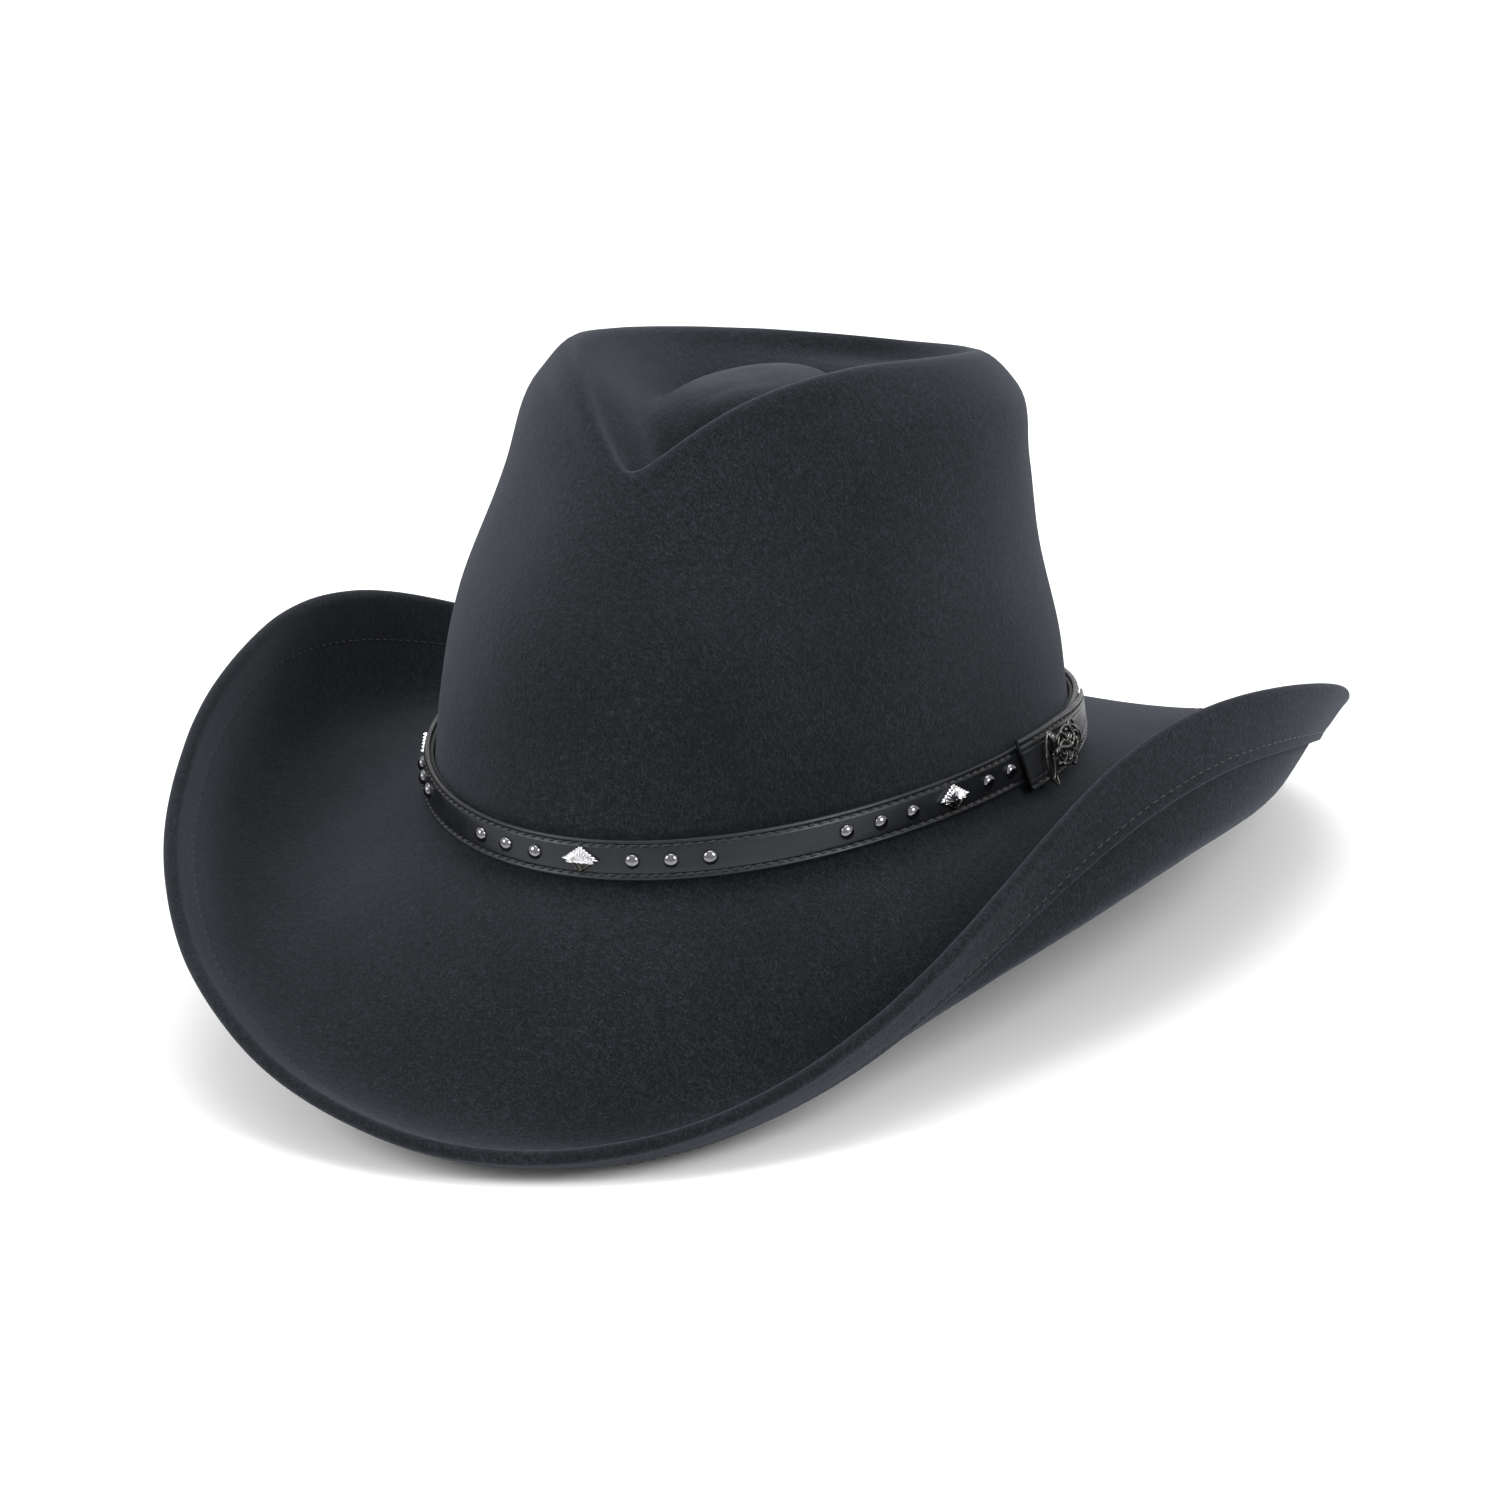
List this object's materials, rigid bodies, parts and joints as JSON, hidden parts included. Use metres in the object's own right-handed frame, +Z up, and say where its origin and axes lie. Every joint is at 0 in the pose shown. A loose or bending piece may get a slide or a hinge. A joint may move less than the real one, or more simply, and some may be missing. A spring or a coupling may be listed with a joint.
{
  "type": "felt cowboy hat",
  "caption": "Felt cowboy hat with a pinched teardrop crown, curled wired brim, sweatband and lining, and a slip-on leather band with studs, diamond mounts and a metal ornament.",
  "frame": {"origin": "middle of the hat's outline seen from above, at the level of the brim's lowest points, on which the hat stands", "axes": "+Z up, -Y the front of the hat, +X the wearer's left"},
  "size_m": [0.2941, 0.3506, 0.1733],
  "materials": {
    "wool_felt": "stiffened black wool felt, brushed nap with fine fuzz",
    "spring_wire": "drawn spring steel wire",
    "ferrule_metal": "crimped brass tube",
    "black_thread": "twisted black polyester thread",
    "sweatband_leather": "smooth black leather, satin",
    "reed_plastic": "extruded black plastic",
    "seam_tape": "woven black tape",
    "bow_ribbon": "ribbed black grosgrain ribbon",
    "lining_satin": "black polyester satin",
    "piping_cord": "satin covered cord",
    "clear_film": "clear glossy plastic film",
    "strap_leather": "glossy black leather with fine grain",
    "backing_tape": "black felt backing",
    "band_thread": "waxed black thread",
    "polished_silver": "polished silver coloured metal",
    "tab_leather": "smooth dark grey leather, satin",
    "antique_metal": "antiqued dark cast metal, worn bright on the high edges"
  },
  "bodies": {
    "hat": {"felt_body": "wool_felt", "brim_wire": "spring_wire", "wire_ferrule": "ferrule_metal", "brim_edge_stitching": "black_thread", "sweatband": "sweatband_leather", "sweatband_reed": "reed_plastic", "sweatband_stitching": "black_thread", "sweatband_seam_tape": "seam_tape", "sweatband_bow": "bow_ribbon", "lining_side": "lining_satin", "lining_tip": "lining_satin", "lining_piping": "piping_cord", "tip_shield": "clear_film"},
    "hatband": {"band_strap": "strap_leather", "band_backing": "backing_tape", "strap_stitching_lower": "band_thread", "strap_stitching_upper": "band_thread", "round_studs": "polished_silver", "diamond_conchos": "polished_silver", "band_tab": "tab_leather", "tab_stitching": "band_thread", "tab_ornament": "antique_metal", "ornament_rivets": "antique_metal"}
  },
  "joints": [
    {"name": "band_lift", "type": "slide", "parent": "hat", "child": "hatband", "axis": [0, 0.0939, 0.9956], "range_m": [0, 0.14]}
  ]
}
